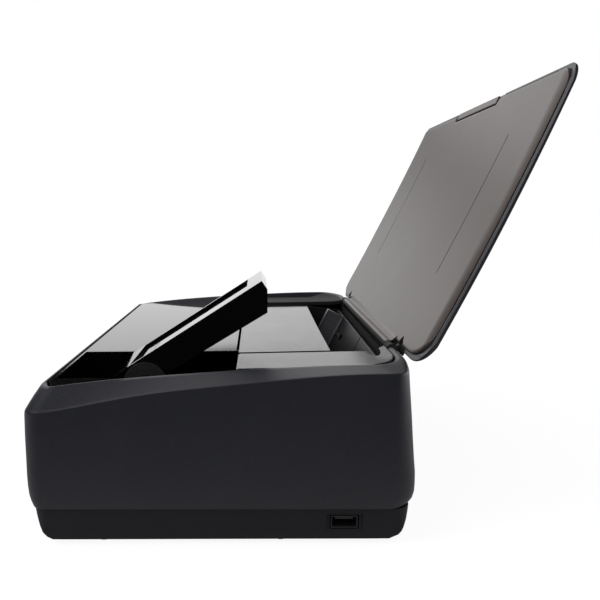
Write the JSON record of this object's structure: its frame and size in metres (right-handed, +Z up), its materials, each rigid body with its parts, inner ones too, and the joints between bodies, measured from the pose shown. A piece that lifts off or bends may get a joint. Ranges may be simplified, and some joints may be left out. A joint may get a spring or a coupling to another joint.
{
  "type": "sheet fed document scanner",
  "caption": "Low sheet feeding desktop scanner with a swung-up paper tray, rear feed well, tilting control panel, front paper exit and a side data socket.",
  "frame": {"origin": "on the table under the middle of the case", "axes": "+X to the right of someone facing the front, +Y to the rear where the tray is hinged, +Z up; metres"},
  "size_m": [0.38, 0.2759, 0.2477],
  "materials": {
    "case": "fine satin texture",
    "base": "fine satin texture",
    "gloss": "polished",
    "satin": "satin",
    "liner": "satin",
    "inner": "plain moulded",
    "grey_trim": "satin",
    "display": "polished",
    "lcd": "plain",
    "rubber": "matte",
    "steel": "brushed",
    "gear": "plain moulded",
    "brass": "turned",
    "board": "solder mask",
    "clear": "polished",
    "white": "matte",
    "motor": "satin"
  },
  "bodies": {
    "frame": {"base_pan": "base", "main_case": "case", "front_deck": "gloss", "ledge_right": "satin", "ledge_left": "satin", "feed_well": "inner", "hinge_bar": "inner", "hinge_pins": "steel", "usb_host_port": "steel", "usb_device_port": "steel", "power_inlet": "inner", "rubber_feet": "rubber", "base_screws": "steel", "main_board": "board", "side_plate_right": "steel", "side_plate_left": "steel", "lower_guide": "inner", "upper_guide": "inner", "sensor_bar": "inner", "sensor_glass": "clear", "white_platen": "white", "drive_motor": "motor", "motor_bracket": "steel", "gear_pins": "steel"},
    "tray": {"tray_cover": "case", "tray_liner": "liner"},
    "extension": {"tray_extension": "case"},
    "arm": {"panel_arm": "inner"},
    "panel": {"panel_shell": "gloss", "panel_caps": "grey_trim", "display_glass": "display", "display_module": "lcd", "panel_back": "inner"},
    "door": {"access_door": "satin"},
    "guide": {"paper_guide": "grey_trim"},
    "feed": {"feed_shaft": "steel", "feed_rollers": "rubber", "feed_gear": "gear"},
    "exit": {"exit_shaft": "steel", "exit_rollers": "rubber", "exit_gear": "gear"},
    "pick": {"pick_shaft": "steel", "pick_rollers": "rubber", "pick_gear": "gear"},
    "pinion": {"motor_pinion": "brass"},
    "idler_a": {"idler_gear_a": "gear"},
    "idler_b": {"idler_gear_b": "gear"},
    "idler_c": {"idler_gear_c": "gear"},
    "pick_idler_body": {"pick_idler": "gear"},
    "feed_pinch_body": {"feed_pinch": "gear"},
    "exit_pinch_body": {"exit_pinch": "gear"},
    "separation": {"separation_arm": "inner", "separation_pad": "rubber"},
    "button": {"power_button": "grey_trim"}
  },
  "joints": [
    {"name": "tray_hinge", "type": "hinge", "parent": "frame", "child": "tray", "pos_m": [0, 0.0945, 0.0915], "axis": [1, 0, 0], "range_deg": [0, 119.6]},
    {"name": "extension_slide", "type": "slide", "parent": "tray", "child": "extension", "axis": [0, -0.4245, -0.9054], "range_m": [-0.085, 0]},
    {"name": "panel_arm_hinge", "type": "hinge", "parent": "frame", "child": "arm", "pos_m": [0.12, -0.0585, 0.069], "axis": [1, 0, 0], "range_deg": [0, 153.5]},
    {"name": "panel_tilt", "type": "hinge", "parent": "arm", "child": "panel", "pos_m": [0.12, -0.04249, 0.07701], "axis": [1, 0, 0], "range_deg": [-187.2, 0]},
    {"name": "door_hinge", "type": "hinge", "parent": "frame", "child": "door", "pos_m": [0, 0.01, 0.082], "axis": [-1, 0, 0], "range_deg": [-50, 0]},
    {"name": "guide_slide", "type": "slide", "parent": "frame", "child": "guide", "axis": [1, 0, 0], "range_m": [-0.04, 0.029]},
    {"name": "feed_spin", "type": "hinge", "parent": "frame", "child": "feed", "pos_m": [-0.128, 0.034, 0.024], "axis": [1, 0, 0], "continuous": true},
    {"name": "exit_spin", "type": "hinge", "parent": "frame", "child": "exit", "pos_m": [-0.128, -0.068, 0.024], "axis": [1, 0, 0], "continuous": true},
    {"name": "pick_spin", "type": "hinge", "parent": "frame", "child": "pick", "pos_m": [-0.128, 0.08019, 0.04789], "axis": [1, 0, 0], "continuous": true},
    {"name": "pinion_spin", "type": "hinge", "parent": "frame", "child": "pinion", "pos_m": [-0.128, 0.01265, 0.04468], "axis": [1, 0, 0], "continuous": true},
    {"name": "idler_a_spin", "type": "hinge", "parent": "frame", "child": "idler_a", "pos_m": [-0.128, 0.009, 0.024], "axis": [1, 0, 0], "continuous": true},
    {"name": "idler_b_spin", "type": "hinge", "parent": "frame", "child": "idler_b", "pos_m": [-0.128, -0.017, 0.024], "axis": [1, 0, 0], "continuous": true},
    {"name": "idler_c_spin", "type": "hinge", "parent": "frame", "child": "idler_c", "pos_m": [-0.128, -0.043, 0.024], "axis": [1, 0, 0], "continuous": true},
    {"name": "pick_idler_spin", "type": "hinge", "parent": "frame", "child": "pick_idler_body", "pos_m": [-0.128, 0.05709, 0.03594], "axis": [1, 0, 0], "continuous": true},
    {"name": "feed_pinch_spin", "type": "hinge", "parent": "frame", "child": "feed_pinch_body", "pos_m": [-0.128, 0.034, 0.03685], "axis": [1, 0, 0], "continuous": true},
    {"name": "exit_pinch_spin", "type": "hinge", "parent": "frame", "child": "exit_pinch_body", "pos_m": [-0.128, -0.068, 0.03685], "axis": [1, 0, 0], "continuous": true},
    {"name": "separation_hinge", "type": "hinge", "parent": "frame", "child": "separation", "pos_m": [0, 0.0555, 0.047], "axis": [1, 0, 0], "range_deg": [0, 8], "stiffness_Nm_per_rad": 0.05, "springref_deg": -11.46},
    {"name": "power_button_press", "type": "slide", "parent": "frame", "child": "button", "axis": [0, 1, 0], "range_m": [0, 0.0012], "stiffness_N_per_m": 400, "springref_m": -0.001}
  ],
  "couplings": [
    {"joint": "panel_arm_hinge", "follows": "tray_hinge", "ratio": 1.2829},
    {"joint": "panel_tilt", "follows": "tray_hinge", "ratio": -1.5646},
    {"joint": "exit_spin", "follows": "feed_spin", "ratio": 1},
    {"joint": "pick_spin", "follows": "feed_spin", "ratio": 1},
    {"joint": "pinion_spin", "follows": "feed_spin", "ratio": 1.5},
    {"joint": "idler_a_spin", "follows": "feed_spin", "ratio": -0.92308},
    {"joint": "idler_b_spin", "follows": "feed_spin", "ratio": 0.92308},
    {"joint": "idler_c_spin", "follows": "feed_spin", "ratio": -0.92308},
    {"joint": "pick_idler_spin", "follows": "feed_spin", "ratio": -0.85714},
    {"joint": "feed_pinch_spin", "follows": "feed_spin", "ratio": -1.7778},
    {"joint": "exit_pinch_spin", "follows": "feed_spin", "ratio": -1.7778}
  ]
}
